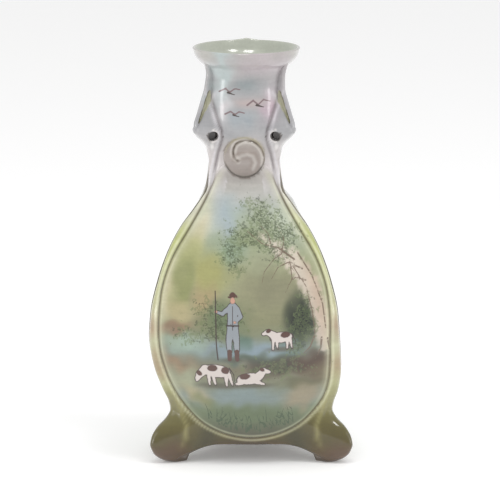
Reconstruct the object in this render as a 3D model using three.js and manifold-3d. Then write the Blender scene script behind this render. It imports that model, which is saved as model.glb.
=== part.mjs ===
// Footed porcelain vase: a three-sided bottle on three splayed feet, with a round flared mouth.
// Each corner carries a fin with a blind loop, a scrolled ear with two round eyes, and a band
// that runs down to the foot. Each side carries a raised field below a rolled spiral.
// One hollow casting. Millimetres, +Z up, a side towards -Y, feet on z = 0.
import * as THREE from 'three';
import { mergeVertices } from 'three/addons/utils/BufferGeometryUtils.js';
import Module from 'manifold-3d';

// Driving dimensions
const HEIGHT = 210;
const WALL = 3.2;
const LIP = 1.7;
const FLOOR_TOP = 14.6;
const BASE_PLANE = 11.2;
const AXIS = { x: 0.3, y: -8.45 };
const LEAN = 3.6;
const LEAN_FROM = 30;
const LEAN_TO = 68;
const MOUTH_LEAN = 1.0;

// Corners point at these directions, and the sides lie halfway between them
const CORNERS = [-150, -30, 90].map(THREE.MathUtils.degToRad);
const SIDES = [-90, 30, 150].map(THREE.MathUtils.degToRad);

// Body sections from the foot up: height, reach of a corner, reach of the middle of a side
const SECTIONS = [
  [0, 38.5, 27.0],
  [9, 40.5, 29.0],
  [18, 43.5, 32.0],
  [28, 45.8, 35.4],
  [38, 50.2, 39.0],
  [50, 53.4, 41.3],
  [62, 54.2, 41.8],
  [78, 53.0, 40.2],
  [94, 48.8, 36.8],
  [109, 42.8, 32.4],
  [120, 36.2, 27.6],
  [130, 27.4, 22.0],
  [139, 21.2, 18.0],
  [148, 19.8, 16.2],
  [156, 19.8, 16.4],
  [164, 20.0, 18.4],
  [174, 20.2, 20.0],
  [195, 19.9, 19.9],
  [200.5, 21.4, 21.4],
  [203.5, 24.4, 24.4],
  [206, 26.1, 26.1],
  [HEIGHT, 27.3, 27.3],
];
const SHARPNESS = 8;

// Scrolled ears at the corners: height, reach, half thickness
const EAR_SECTIONS = [
  [153, 19.4, 6.5],
  [157, 20.2, 8.0],
  [160, 21.2, 9.0],
  [163, 23.8, 9.6],
  [166, 27.0, 9.7],
  [169.5, 29.2, 9.3],
  [172, 27.8, 7.8],
  [175, 25.8, 5.8],
  [180, 23.4, 3.4],
  [186, 20.5, 1.5],
];
const EAR_SQUARENESS = 2.5;
const EYE = { x: 16.6, z: 166.8, radius: 2.5, bottom: 12.2, sides: 12, turn: THREE.MathUtils.degToRad(-14) };

// Feet: how far they reach out past the corners, and their outline against height
const FOOT_REACH = 18.6;
const FOOT_HALF_ANGLE = THREE.MathUtils.degToRad(25);
const FOOT_OUTLINE = [
  [0, 0.60],
  [2.6, 0.84],
  [5.3, 0.96],
  [9, 1.0],
  [13, 0.90],
  [18.5, 0.60],
  [23, 0.24],
  [27, 0.05],
  [32, 0],
];
const PAD_HALF_ANGLE = THREE.MathUtils.degToRad(4.6);
const PAD_LENGTH = 6.5;
const ARCH_HEIGHT = 9.9;
const ARCH_SPREAD = THREE.MathUtils.degToRad(8);

// Corner bands that run from the ears down to the feet
const BAND_SWELL = 0.8;
const BAND_HALF_ANGLE = THREE.MathUtils.degToRad(5);

// Raised field on each side: half outline from the top down, as half width and height
const FIELD_RISE = 0.55;
const FIELD_OUTLINE = [
  [12.4, 153], [13.6, 147], [15.9, 141], [19.6, 133], [28.0, 119.5], [35.9, 107],
  [41.4, 92], [43.2, 74], [42.6, 56], [39.4, 41], [33, 29.5], [24.6, 21.2], [13.5, 15.8], [0, 13.7],
];
const FIELD_BUMP = { angle: THREE.MathUtils.degToRad(8), height: 132, below: 9, above: 3.4, rise: 2.4 };

// Rolled spirals at the waist: a bold one in front, and a flatter one on each plainer side
const ROLL_Z = 156.3;
const ROLL_ROOT = 10;
const ROLL_BEVEL = 0.9;
const ROLL_SEGMENTS = 11;
const FRONT_ROLL = { radius: 10.6, face: 18.4, rise: 0.6 };
const SIDE_ROLL = { radius: 7.6, face: 17.2, rise: 0.4 };
const SPIRAL = { turns: 1.3, inner: 0.19, outer: 0.905, width: 0.14, steps: 15 };

// Fins from the lip down to the ears: outer edge as reach and height, and the blind loop in each
const FIN_EDGE = [
  [24.9, 204.6], [23.6, 201.5], [22.9, 197], [23.4, 190.5], [25.6, 183.5], [27.7, 177.5], [29.4, 172], [29.2, 168],
];
const FIN_ROOT = 17;
const FIN_SPAN = [168, 204.6];
const FIN_HALF_THICKNESS = 1.5;
const LOOP = [[23.2, 186], [27.4, 173.6], [26.2, 172.3], [23.4, 172]];
const LOOP_WEB = 0.5;

// Small point on the lip at the back
const LIP_POINT = { rise: 0.9, corner: CORNERS[2], halfAngle: THREE.MathUtils.degToRad(15) };

// Mesh fineness
const SECTOR_STEPS = [0, 4, 8.5, 14, 21, 29, 38, 48];
const CAVITY_COLUMNS = 24;
const SPLAY_TOP = 34;
const SPLAY_ROWS = 8;
const FIELD_STEPS = 14;
const FIN_STEPS = 8;

const wasm = await Module();
wasm.setup();

const smoothstep = THREE.MathUtils.smoothstep;

// Reads column `k` of a list of stations at a height, on a smooth curve through them
function along(stations, z, k) {
  const last = stations.length - 1;
  if (z <= stations[0][0]) return stations[0][k];
  if (z >= stations[last][0]) return stations[last][k];
  let i = 0;
  while (z > stations[i + 1][0]) i += 1;
  const [a, b] = [stations[i], stations[i + 1]];
  const span = b[0] - a[0];
  const t = (z - a[0]) / span;
  const rise = (b[k] - a[k]) / span;
  const before = i > 0 ? (a[k] - stations[i - 1][k]) / (a[0] - stations[i - 1][0]) : rise;
  const after = i + 1 < last ? (stations[i + 2][k] - b[k]) / (stations[i + 2][0] - b[0]) : rise;
  const startSlope = before * rise > 0 ? 2 * before * rise / (before + rise) : 0;
  const endSlope = after * rise > 0 ? 2 * after * rise / (after + rise) : 0;
  const t2 = t * t;
  const t3 = t2 * t;
  return (2 * t3 - 3 * t2 + 1) * a[k] + (t3 - 2 * t2 + t) * span * startSlope
    + (3 * t2 - 2 * t3) * b[k] + (t3 - t2) * span * endSlope;
}

// Distance from the axis to a rounded three-sided section with bulging sides
function sectionReach(angle, cornerReach, sideReach) {
  const total = SIDES.reduce((sum, side) => sum + Math.max(0, Math.cos(angle - side)) ** SHARPNESS, 0);
  const cornerTotal = 2 * 0.5 ** SHARPNESS;
  return sideReach * (cornerReach / sideReach) ** (Math.log(total) / Math.log(cornerTotal));
}

// Angle between a direction and the nearest corner
function angleFromCorner(angle) {
  return Math.min(...CORNERS.map((corner) => Math.acos(Math.min(1, Math.cos(angle - corner)))));
}

// The body leans to one side of the foot, and the mouth a little to the other
function lean(z) {
  return MOUTH_LEAN * smoothstep(z, 186, 204) - LEAN * smoothstep(z, LEAN_FROM, LEAN_TO);
}

function bodyReach(angle, z, inset = 0) {
  return sectionReach(angle, along(SECTIONS, z, 1) - inset, along(SECTIONS, z, 2) - inset);
}

function earReach(angle, z) {
  if (z < EAR_SECTIONS[0][0] || z > EAR_SECTIONS.at(-1)[0]) return 0;
  const off = angleFromCorner(angle);
  const alongCorner = Math.cos(off) / along(EAR_SECTIONS, z, 1);
  const across = Math.sin(off) / along(EAR_SECTIONS, z, 2);
  return (alongCorner ** EAR_SQUARENESS + across ** EAR_SQUARENESS) ** (-1 / EAR_SQUARENESS);
}

function footReach(angle, z) {
  const off = angleFromCorner(angle) / FOOT_HALF_ANGLE;
  if (off >= 1) return 0;
  const lobe = Math.cos(off * Math.PI / 2);
  return FOOT_REACH * along(FOOT_OUTLINE, z, 1) * (0.62 * lobe ** 2 + 0.38 * lobe ** 9);
}

function bandReach(angle, z) {
  const fade = smoothstep(z, 12, 30) * (1 - smoothstep(z, 120, 145));
  return BAND_SWELL * fade * Math.exp(-((angleFromCorner(angle) / BAND_HALF_ANGLE) ** 2));
}

// The field to the right of the front starts as a small shoulder
function bumpReach(angle, z) {
  const spread = z > FIELD_BUMP.height ? FIELD_BUMP.above : FIELD_BUMP.below;
  const up = Math.exp(-(((z - FIELD_BUMP.height) / spread) ** 2));
  return FIELD_BUMP.rise * up * Math.max(0, Math.cos(angle - FIELD_BUMP.angle)) ** 8;
}

function outerReach(angle, z) {
  const body = bodyReach(angle, z) + footReach(angle, z) + bandReach(angle, z) + bumpReach(angle, z);
  return Math.max(body, earReach(angle, z));
}

// Height of the lower edge of the wall: on the ground at the feet, arched between them
function edgeHeight(angle) {
  const off = Math.max(0, angleFromCorner(angle) - PAD_HALF_ANGLE);
  return ARCH_HEIGHT * (1 - Math.exp(-off / ARCH_SPREAD));
}

function place(angle, reach, z) {
  return [reach * Math.cos(angle), reach * Math.sin(angle), z];
}

// Closed skin through rings of points, with a point at each end of the stack
function ringsToGeometry(rings, startPoint, endPoint) {
  const count = rings[0].length;
  const position = [startPoint, ...rings.flat(), endPoint].flat();
  const endIndex = rings.length * count + 1;
  const index = [];
  const at = (ring, i) => 1 + ring * count + (i % count);
  for (let i = 0; i < count; i += 1) {
    index.push(0, at(0, i + 1), at(0, i));
    index.push(endIndex, at(rings.length - 1, i), at(rings.length - 1, i + 1));
    for (let ring = 0; ring + 1 < rings.length; ring += 1) {
      index.push(at(ring, i), at(ring + 1, i + 1), at(ring + 1, i));
      index.push(at(ring, i), at(ring, i + 1), at(ring + 1, i + 1));
    }
  }
  const geometry = new THREE.BufferGeometry();
  geometry.setAttribute('position', new THREE.Float32BufferAttribute(position, 3));
  geometry.setIndex(index);
  return geometry;
}

// Directions of the columns of the outer skin: closest together at the corners
function columnAngles() {
  const sector = [...SECTOR_STEPS, 60, ...SECTOR_STEPS.slice(1).reverse().map((step) => 120 - step)];
  return CORNERS.flatMap((corner) => sector.map((step) => corner + THREE.MathUtils.degToRad(step)));
}

const COLUMNS = columnAngles();
const CAVITY_ANGLES = Array.from({ length: CAVITY_COLUMNS }, (_, i) => 2 * Math.PI * i / CAVITY_COLUMNS);

function ring(angles, pointAt) {
  return angles.map(pointAt);
}

// Moves an upright shape onto the vase's leaning axis and makes it a solid
function toSolid(geometry) {
  const bare = geometry.clone();
  bare.deleteAttribute('normal');
  bare.deleteAttribute('uv');
  const { position } = bare.attributes;
  for (let i = 0; i < position.count; i += 1) {
    position.setX(i, position.getX(i) + AXIS.x + lean(position.getZ(i)));
    position.setY(i, position.getY(i) + AXIS.y);
  }
  const merged = mergeVertices(bare, 1e-4);
  const vertProperties = new Float32Array(merged.attributes.position.array);
  const triVerts = new Uint32Array(merged.index.array);
  return new wasm.Manifold(new wasm.Mesh({ numProp: 3, vertProperties, triVerts }));
}

function toGeometry(solid) {
  const mesh = solid.getMesh();
  const geometry = new THREE.BufferGeometry();
  geometry.setAttribute('position', new THREE.BufferAttribute(mesh.vertProperties, 3));
  geometry.setIndex(new THREE.BufferAttribute(mesh.triVerts, 1));
  return geometry;
}

// Heights of the rows of the outer wall, closer together where the form turns quickly
function wallHeights() {
  const stops = [
    [SPLAY_TOP, 124, 9], [124, 154, 7], [154, 169.5, 5], [172, 190, 5], [195, 206, 5],
  ];
  const heights = [];
  for (const [from, to, steps] of stops) {
    for (let i = 0; i <= steps; i += 1) {
      const z = from + (to - from) * i / steps;
      if (z > (heights.at(-1) ?? 0) + 0.1) heights.push(z);
    }
  }
  heights.push(209.2);
  return heights;
}

function outerSkin() {
  const rings = [];
  for (const [share, drop] of [[0.45, 0], [0.8, 0.3]]) {
    rings.push(ring(COLUMNS, (angle) => place(angle, bodyReach(angle, BASE_PLANE) * share, BASE_PLANE - drop)));
  }
  rings.push(ring(COLUMNS, (angle) => {
    const edge = edgeHeight(angle);
    return place(angle, outerReach(angle, edge) - PAD_LENGTH * (1 - 0.7 * edge / ARCH_HEIGHT), edge);
  }));
  for (let row = 0; row < SPLAY_ROWS; row += 1) {
    const share = (row / SPLAY_ROWS) ** 1.25;
    rings.push(ring(COLUMNS, (angle) => {
      const z = THREE.MathUtils.lerp(edgeHeight(angle), SPLAY_TOP, share);
      return place(angle, outerReach(angle, z), z);
    }));
  }
  for (const z of wallHeights()) {
    rings.push(ring(COLUMNS, (angle) => place(angle, outerReach(angle, z), z)));
  }
  rings.push(ring(COLUMNS, (angle) => {
    const off = Math.acos(Math.min(1, Math.cos(angle - LIP_POINT.corner)));
    const point = LIP_POINT.rise * Math.max(0, 1 - off / LIP_POINT.halfAngle);
    return place(angle, outerReach(angle, HEIGHT) - 0.6, HEIGHT + point);
  }));
  return ringsToGeometry(rings, [0, 0, BASE_PLANE], [0, 0, HEIGHT]);
}

// Hollow inside: the wall stays the same thickness up to the mouth, and thins to the lip
function cavitySkin() {
  const heights = [FLOOR_TOP + 2.5, 24, 36, 54, 76, 94, 108, 120, 130, 140, 152, 168, 195, 200.5, 203.5, 206];
  const thickness = (z) => THREE.MathUtils.lerp(WALL, LIP, smoothstep(z, 196, 206));
  const rings = [ring(CAVITY_ANGLES, (angle) => place(angle, bodyReach(angle, FLOOR_TOP, WALL) * 0.86, FLOOR_TOP))];
  for (const z of heights) {
    rings.push(ring(CAVITY_ANGLES, (angle) => place(angle, bodyReach(angle, z, thickness(z)), z)));
  }
  rings.push(ring(CAVITY_ANGLES, (angle) => place(angle, bodyReach(angle, HEIGHT, LIP), HEIGHT + 3)));
  return ringsToGeometry(rings, [0, 0, FLOOR_TOP], [0, 0, HEIGHT + 3]);
}

// The wall moved out by the fields' rise, from which the fields are cut
function raisedSkin() {
  const rings = [];
  for (let row = 3; row < SPLAY_ROWS; row += 1) {
    const share = (row / SPLAY_ROWS) ** 1.25;
    rings.push(ring(COLUMNS, (angle) => {
      const z = THREE.MathUtils.lerp(edgeHeight(angle), SPLAY_TOP, share);
      return place(angle, outerReach(angle, z) + FIELD_RISE, z);
    }));
  }
  for (const z of wallHeights().filter((height) => height < 156)) {
    rings.push(ring(COLUMNS, (angle) => place(angle, outerReach(angle, z) + FIELD_RISE, z)));
  }
  return ringsToGeometry(rings, [0, 0, 17], [0, 0, 153]);
}

// A shape drawn as seen from the front, made solid between two distances in front of the axis
function frontPrism(shape, near, far, options = {}) {
  const depth = far - near;
  const geometry = new THREE.ExtrudeGeometry(shape, { depth, bevelEnabled: false, curveSegments: 6, ...options });
  geometry.rotateX(Math.PI / 2);
  geometry.translate(0, -near, 0);
  return geometry;
}

// Turns what is drawn for the front side so that it faces another side
function turnTo(geometry, side) {
  return geometry.clone().rotateZ(side - SIDES[0]);
}

function fieldPrism() {
  const upright = FIELD_OUTLINE.map(([half, z]) => new THREE.Vector2(half, z));
  const right = new THREE.SplineCurve(upright).getPoints(FIELD_STEPS);
  const left = right.slice(0, -1).reverse().map((p) => new THREE.Vector2(-p.x, p.y));
  return frontPrism(new THREE.Shape([...right, ...left]), 2, 70);
}

// Spiral ridge that tapers towards its inner end
function spiralShape(radius) {
  const outerEdge = [];
  const innerEdge = [];
  for (let i = 0; i <= SPIRAL.steps; i += 1) {
    const share = i / SPIRAL.steps;
    const angle = Math.PI * (0.25 - 2 * SPIRAL.turns * (1 - share));
    const reach = radius * THREE.MathUtils.lerp(SPIRAL.inner, SPIRAL.outer, share);
    const half = radius * SPIRAL.width * (0.35 + 0.65 * share) / 2;
    outerEdge.push(new THREE.Vector2((reach + half) * Math.cos(angle), (reach + half) * Math.sin(angle)));
    innerEdge.push(new THREE.Vector2((reach - half) * Math.cos(angle), (reach - half) * Math.sin(angle)));
  }
  return new THREE.Shape([...outerEdge, ...innerEdge.reverse()]);
}

function roll({ radius, face, rise }) {
  const disc = new THREE.Shape().absarc(0, 0, radius - ROLL_BEVEL, 0, 2 * Math.PI);
  const bevel = { bevelEnabled: true, bevelThickness: ROLL_BEVEL, bevelSize: ROLL_BEVEL, bevelSegments: 1 };
  const plate = frontPrism(disc, ROLL_ROOT, face - ROLL_BEVEL, { ...bevel, curveSegments: ROLL_SEGMENTS });
  const ridge = frontPrism(spiralShape(radius), face - 1, face + rise);
  return [plate, ridge].map((piece) => piece.translate(0, 0, ROLL_Z));
}

// Plate in the upright plane through a corner, drawn for the right of the front
function cornerPlate(shape, near, far, corner) {
  const plate = new THREE.ExtrudeGeometry(shape, { depth: far - near, bevelEnabled: false });
  return plate.rotateX(Math.PI / 2).translate(0, far, 0).rotateZ(corner);
}

function fin(corner) {
  const edge = new THREE.SplineCurve(FIN_EDGE.map(([reach, z]) => new THREE.Vector2(reach, z))).getPoints(FIN_STEPS);
  const shape = new THREE.Shape([...edge, ...FIN_SPAN.map((z) => new THREE.Vector2(FIN_ROOT, z))]);
  return cornerPlate(shape, -FIN_HALF_THICKNESS, FIN_HALF_THICKNESS, corner);
}

// Hollows that leave a thin web inside the loop of a fin
function loopHollows(corner) {
  const shape = new THREE.Shape(LOOP.map(([reach, z]) => new THREE.Vector2(reach, z)).reverse());
  return [[LOOP_WEB, 9], [-9, -LOOP_WEB]].map(([near, far]) => cornerPlate(shape, near, far, corner));
}

// Blind round eye in a face of an ear, on the right or left of a side
function eye(hand) {
  const length = 30;
  const pin = new THREE.CylinderGeometry(EYE.radius, EYE.radius, length, EYE.sides);
  pin.translate(0, -length / 2, 0).rotateZ(hand * EYE.turn);
  return pin.translate(hand * EYE.x, -EYE.bottom, EYE.z);
}

function vaseSolid() {
  const raised = toSolid(raisedSkin());
  let solid = toSolid(outerSkin());
  for (const side of SIDES) solid = solid.add(toSolid(turnTo(fieldPrism(), side)).intersect(raised));
  for (const corner of CORNERS) {
    solid = solid.add(toSolid(fin(corner)));
    for (const hollow of loopHollows(corner)) solid = solid.subtract(toSolid(hollow));
  }
  for (const side of SIDES) {
    const size = side === SIDES[0] ? FRONT_ROLL : SIDE_ROLL;
    for (const piece of roll(size)) solid = solid.add(toSolid(turnTo(piece, side)));
  }
  solid = solid.subtract(toSolid(cavitySkin()));
  for (const side of SIDES) {
    for (const hand of [1, -1]) solid = solid.subtract(toSolid(turnTo(eye(hand), side)));
  }
  return solid;
}

const glaze = new THREE.MeshStandardMaterial({ color: 0xb9bfae, roughness: 0.18, metalness: 0 });
const vase = new THREE.Mesh(toGeometry(vaseSolid()), glaze);
vase.name = 'vase';

const object = new THREE.Group();
object.add(vase);

export default object;
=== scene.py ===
"""Looks of a three-sided footed porcelain vase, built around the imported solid."""

import math
from functools import reduce

import bpy
import numpy as np
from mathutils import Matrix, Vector


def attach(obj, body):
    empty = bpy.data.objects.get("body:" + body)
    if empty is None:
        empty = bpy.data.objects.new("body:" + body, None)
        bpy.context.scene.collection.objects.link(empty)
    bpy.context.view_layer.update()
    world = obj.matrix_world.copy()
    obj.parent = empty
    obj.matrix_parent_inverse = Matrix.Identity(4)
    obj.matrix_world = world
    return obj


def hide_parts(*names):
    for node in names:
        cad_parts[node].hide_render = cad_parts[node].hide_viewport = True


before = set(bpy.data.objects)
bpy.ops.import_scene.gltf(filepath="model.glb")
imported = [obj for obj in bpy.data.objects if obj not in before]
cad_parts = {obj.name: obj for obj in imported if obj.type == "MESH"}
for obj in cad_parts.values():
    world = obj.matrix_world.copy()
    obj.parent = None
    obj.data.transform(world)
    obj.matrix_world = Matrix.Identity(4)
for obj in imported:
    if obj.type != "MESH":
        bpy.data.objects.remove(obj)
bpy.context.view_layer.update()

MM = 0.001

# Named sizes of the form, the same as the solid's, in millimetres
HEIGHT = 210.0
WALL = 3.2
LIP = 1.7
FLOOR_TOP = 14.6
BASE_PLANE = 11.2
AXIS_X = 0.3
AXIS_Y = -8.45
LEAN = 3.6
LEAN_FROM = 30.0
LEAN_TO = 68.0
MOUTH_LEAN = 1.0
CORNERS = np.radians([-150.0, -30.0, 90.0])
SIDES = np.radians([-90.0, 30.0, 150.0])
SHARPNESS = 8

# Body sections: height, reach of a corner, reach of the middle of a side
SECTIONS = np.array([
    (0, 38.5, 27.0), (9, 40.5, 29.0), (18, 43.5, 32.0), (28, 45.8, 35.4), (38, 50.2, 39.0),
    (50, 53.4, 41.3), (62, 54.2, 41.8), (78, 53.0, 40.2), (94, 48.8, 36.8), (109, 42.8, 32.4),
    (120, 36.2, 27.6), (130, 27.4, 22.0), (139, 21.2, 18.0), (148, 19.8, 16.2), (156, 19.8, 16.4),
    (164, 20.0, 18.4), (174, 20.2, 20.0), (195, 19.9, 19.9), (200.5, 21.4, 21.4),
    (203.5, 24.4, 24.4), (206, 26.1, 26.1), (HEIGHT, 27.3, 27.3),
])

# Ears: height, reach, half thickness
EAR_SECTIONS = np.array([
    (153, 19.4, 6.5), (157, 20.2, 8.0), (160, 21.2, 9.0), (163, 23.8, 9.6), (166, 27.0, 9.7),
    (169.5, 29.2, 9.3), (172, 27.8, 7.8), (175, 25.8, 5.8), (180, 23.4, 3.4), (186, 20.5, 1.5),
])
EAR_SQUARENESS = 2.5
EYE_X = 16.6
EYE_Z = 166.8
EYE_RADIUS = 2.5
EYE_BOTTOM = 12.2
EYE_TURN = math.radians(14)

# Feet: height, share of the reach
FOOT_REACH = 18.6
FOOT_HALF_ANGLE = math.radians(25)
FOOT_OUTLINE = np.array([
    (0, 0.60), (2.6, 0.84), (5.3, 0.96), (9, 1.0), (13, 0.90), (18.5, 0.60), (23, 0.24), (27, 0.05), (32, 0),
])
# Ridge down each side of a foot: height, side position
FOOT_RIDGE = np.array([(4, 37.0), (12, 34.0), (20, 33.0), (30, 36.5), (40, 40.0)])
# Heights between which a line fades in and out, and its waves as height, offset and width
FOOT_RIDGE_SPAN = (2, 10, 28, 42)
FOOT_RIDGE_WAVES = ((1.0, 0, 1.9), (-0.9, -5, 3.2))
PAD_HALF_ANGLE = math.radians(4.6)
PAD_LENGTH = 6.5
ARCH_HEIGHT = 9.9
ARCH_SPREAD = math.radians(8)
SPLAY_TOP = 34.0

# Raised fields: half width, height
FIELD_OUTLINE = [
    (12.4, 153), (13.6, 147), (15.9, 141), (19.6, 133), (28.0, 119.5), (35.9, 107),
    (41.4, 92), (43.2, 74), (42.6, 56), (39.4, 41), (33, 29.5), (24.6, 21.2), (13.5, 15.8), (0, 13.7),
]
FIELD_RISE = 0.55
FIELD_MIDDLE = 74.0
# Low swelling on the right shoulder
BUMP_ANGLE = math.radians(8)
BUMP_HEIGHT = 132.0
BUMP_BELOW = 9.0
BUMP_ABOVE = 3.4
BUMP_RISE = 2.4
# Low band down each corner
BAND_SWELL = 0.8
BAND_SPAN = (12, 30, 120, 145)
BAND_HALF_ANGLE = math.radians(5)

# Rolled spiral
ROLL_Z = 156.3
ROLL_RADIUS = 10.6
ROLL_FACE = 18.4
SIDE_ROLL_RADIUS = 7.6
SIDE_ROLL_FACE = 17.2
ROLL_ROOT = 10.0
# Line of the spiral: direction in degrees, reach from its middle
SPIRAL_LINE = np.array([
    (-20, 10.4), (12, 9.8), (50, 9.3), (83, 8.7), (120, 8.1), (152, 6.3), (186, 4.6), (205, 3.6),
])
# Groove and ridge along the spiral's line: height, offset and width of each
SPIRAL_WAVES = ((-0.5, 0, 0.4), (0.35, 1.1, 0.6))
# Ridge of the inner curl: side position, height
CURL = [(-4.2, -0.6), (-1.5, 0.9), (1.5, 1.7), (4.4, 0.6), (5.6, -2.6), (4.4, -6.0)]
CURL_RISE = 0.35
CURL_WIDTH = 1.3
ROLL_DOME = 0.7
# Rings of the rolled spiral outside its face: reach, distance behind the face
ROLL_EDGE_RINGS = ((10.1, 0.25), (10.45, 0.6), (10.6, 1.1), (10.5, 1.8), (10.1, 2.6), (9.6, 4.0))
ROLL_ROOT_REACH = 9

# Crease beside the neck panel and the roll: height, side position
CREASE = np.array([
    (120, 28.0), (128, 22.6), (134.7, 18.9), (144.5, 16.0), (149.5, 14.9), (157.5, 13.4), (161, 12.3),
    (165, 11.3), (169.5, 11.6), (174, 13.0), (178, 14.4), (183, 16.2), (190, 18.0),
])
CREASE_ACROSS = 0.85
CREASE_SPAN = (128, 142, 180, 192)
CREASE_WAVES = ((-0.55, 0, 0.65), (0.4, 1.5, 0.9))

# Fins: outer edge as height and reach
FIN_EDGE = np.array([
    (168, 29.2), (172, 29.4), (177.5, 27.7), (183.5, 25.6), (190.5, 23.4), (197, 22.9), (201.5, 23.6),
    (204.6, 24.9),
])
FIN_RUNS = ((168, 172, 4), (172, 192, 34), (192, 204.6, 10))
FIN_HALF_THICKNESS = 1.5
FIN_EDGE_ROUNDING = 0.9
LOOP_WEB = 0.5
LOOP_LOW = 172.5
LOOP_HIGH = 190.0

# Columns of the skin in each third, and how far they crowd towards the corners, in degrees
SECTOR_COLUMNS = 74
COLUMN_CROWDING = 12
# Rings of the skin: under the base as share and drop, and over the lip as inset and drop
BASE_RINGS = ((0.25, 0), (0.5, 0), (0.7, 0.1), (0.8, 0.3))
LIP_RINGS = ((0.1, 0.5), (0.45, 0.1), (0.85, 0.0), (1.25, 0.1), (1.6, 0.5))
SPLAY_ROWS = 38
OUTER_RUNS = ((SPLAY_TOP, 150, 46), (150, 192, 46), (192, 209, 20))
INNER_RUNS = ((206, 192, 8), (192, 160, 6), (160, 26, 14))
# Rings of the inside's floor: share of the reach, rise over the floor
FLOOR_RINGS = ((0.96, 4.0), (0.9, 1.6), (0.8, 0.4), (0.5, 0.0))
# Heights between which the wall thins
THINNING = (196, 206)

# Rings of a raised field: share of its outline and lift over the wall, then its root in the wall
FIELD_EDGE_RINGS = ((0.992, 0.62), (0.998, 0.58), (1.003, 0.4), (1.006, 0.1), (1.004, -0.6))
FIELD_ROOT = -1.2
FIELD_ROOT_SHARES = (0.99, 0.96, 0.93, 0.9, 0.87, 0.84, 0.8, 0.76, 0.7, 0.6, 0.4, 0.2)
# Points along a field's outline, and how many of them are averaged to round it
OUTLINE_SAMPLES = 2000
OUTLINE_SMOOTHING = 130

# Small point on the lip at the back
LIP_POINT_RISE = 0.9
LIP_POINT_HALF_ANGLE = math.radians(15)
# Rings of the eyes' cutter: reach, depth
EYE_RINGS = ((1.2, 0.0), (2.1, 0.15), (EYE_RADIUS, 0.9), (EYE_RADIUS, 12.0))
SMOOTH_BELOW = math.radians(50)

# Colours of the glaze against height, on the bands, feet and neck
BAND_COLOURS = [
    (0, (76, 54, 28)), (6, (88, 66, 34)), (13, (84, 74, 26)), (20, (96, 88, 38)), (30, (138, 134, 82)),
    (42, (178, 178, 132)), (54, (168, 148, 114)), (62, (192, 194, 156)), (71, (168, 144, 114)),
    (80, (194, 190, 150)), (95, (194, 196, 140)), (112, (184, 190, 116)), (122, (192, 196, 140)),
    (131, (204, 200, 190)), (142, (222, 215, 213)), (160, (200, 193, 192)), (170, (166, 166, 168)),
    (186, (178, 176, 178)), (202, (176, 170, 170)), (210, (180, 177, 170)),
]
# Colours of the painted fields against height, before the washes
FIELD_COLOURS = [
    (14, (86, 84, 68)), (20, (94, 100, 76)), (28, (110, 124, 92)), (36, (134, 146, 138)),
    (44, (124, 128, 104)), (52, (120, 114, 90)), (60, (130, 142, 130)), (68, (132, 138, 112)),
    (76, (142, 142, 108)), (90, (158, 158, 122)), (104, (156, 160, 122)), (116, (164, 174, 148)),
    (126, (184, 193, 188)), (136, (188, 188, 182)), (146, (184, 178, 172)), (156, (172, 164, 158)),
]
# Colours of the roll against height over its middle
ROLL_COLOURS = [(-10, (138, 126, 118)), (-3, (164, 154, 148)), (4, (162, 152, 145)), (10, (178, 171, 163))]
# Colours of marks on the glaze. Painted shade: the foot valleys, creases, eyes, fin grooves, spiral line,
# under the curl and under the roll. Painted highlights: the foot ridges, field rims, crease ridges, eye
# rims, glints under the eyes, spiral ridge and curl. The rest are the glaze's and the picture's own colours.
GLAZE = {
    "foot_valley_shade": (62, 60, 30), "foot_ridge_highlight": (168, 162, 110), "toe": (96, 72, 52),
    "lower_edge": (64, 48, 28), "field_rim_highlight": (206, 206, 176), "figure_shadow": (86, 82, 66),
    "trunk": (220, 206, 192), "trunk_shade": (196, 168, 146),
    "neck_left": (186, 201, 200), "neck_top": (202, 188, 196), "inside": (188, 192, 178),
    "crease": (128, 120, 122), "crease_ridge_highlight": (230, 226, 230),
    "eye": (70, 62, 58), "eye_rim_highlight": (236, 230, 226), "tear_highlight": (238, 234, 232),
    "fin_loop": (184, 182, 150), "fin_groove_shade": (84, 78, 60),
    "spiral_ridge_highlight": (214, 208, 200), "spiral": (112, 102, 88), "under_curl_shade": (150, 138, 130),
    "curl": (196, 189, 182), "roll_rim": (150, 142, 112), "roll_undercut_shadow": (62, 54, 44),
}
# Lines of a field's border: distance outside its outline, half width, strength, colour. The two pale lines
# are painted highlights, the dark one painted shade along the field's edge.
BORDER_HIGHLIGHT_AND_SHADE_LINES = [
    (1.7, 0.8, 0.6, (232, 232, 198)),
    (-0.8, 0.45, 0.5, (224, 224, 190)),
    (0.35, 0.5, 0.85, (86, 80, 50)),
]
# Lustre on the neck's front: side position, height, half width, half height, strength, colour
NECK_TINTS = [
    (13, 181, 4, 9, 0.7, (200, 172, 186)),
    (2, 184, 8, 2.6, 0.8, (196, 176, 172)),
    (-11, 181, 4, 6, 1.0, (214, 208, 210)),
    (1, 193, 7, 4, 1.0, (150, 158, 160)),
    (-1, 174, 6, 6, 0.9, (156, 166, 172)),
]
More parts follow.
